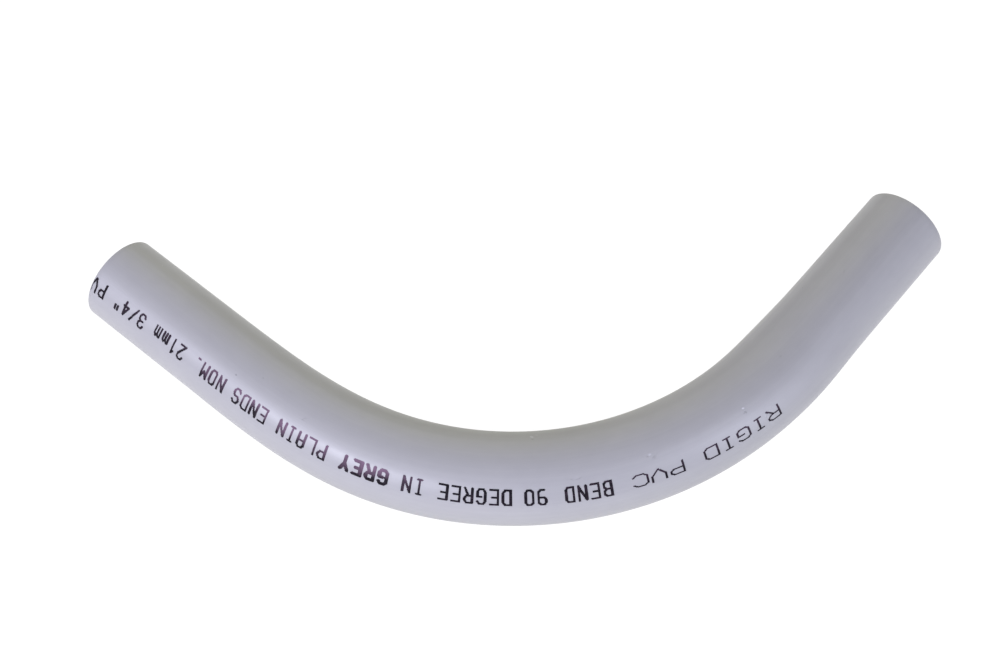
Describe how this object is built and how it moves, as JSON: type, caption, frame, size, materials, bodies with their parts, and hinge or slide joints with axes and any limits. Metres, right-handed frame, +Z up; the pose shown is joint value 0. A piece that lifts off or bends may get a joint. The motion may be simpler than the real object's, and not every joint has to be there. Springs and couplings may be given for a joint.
{
  "type": "pvc conduit elbow",
  "caption": "Plain-end quarter-turn elbow of rigid grey PVC conduit: a long-radius swept bend with straight legs and square-cut open ends.",
  "frame": {"origin": "middle of the bounding box's base, on the surface that the elbow lies on", "axes": "the bend's plane is XY and +Z is up; leg A runs along X with its cut end facing -X, leg B runs along Y with its cut end facing +Y, and the heel of the bend is at +X, -Y"},
  "size_m": [0.1886, 0.1806, 0.0267],
  "materials": {
    "grey_pvc": "satin extruded rigid PVC, cool light grey, with faint lengthwise lines",
    "print_ink": "dull near-black inkjet print"
  },
  "bodies": {
    "root": {"elbow_pipe": "grey_pvc"}
  },
  "joints": []
}
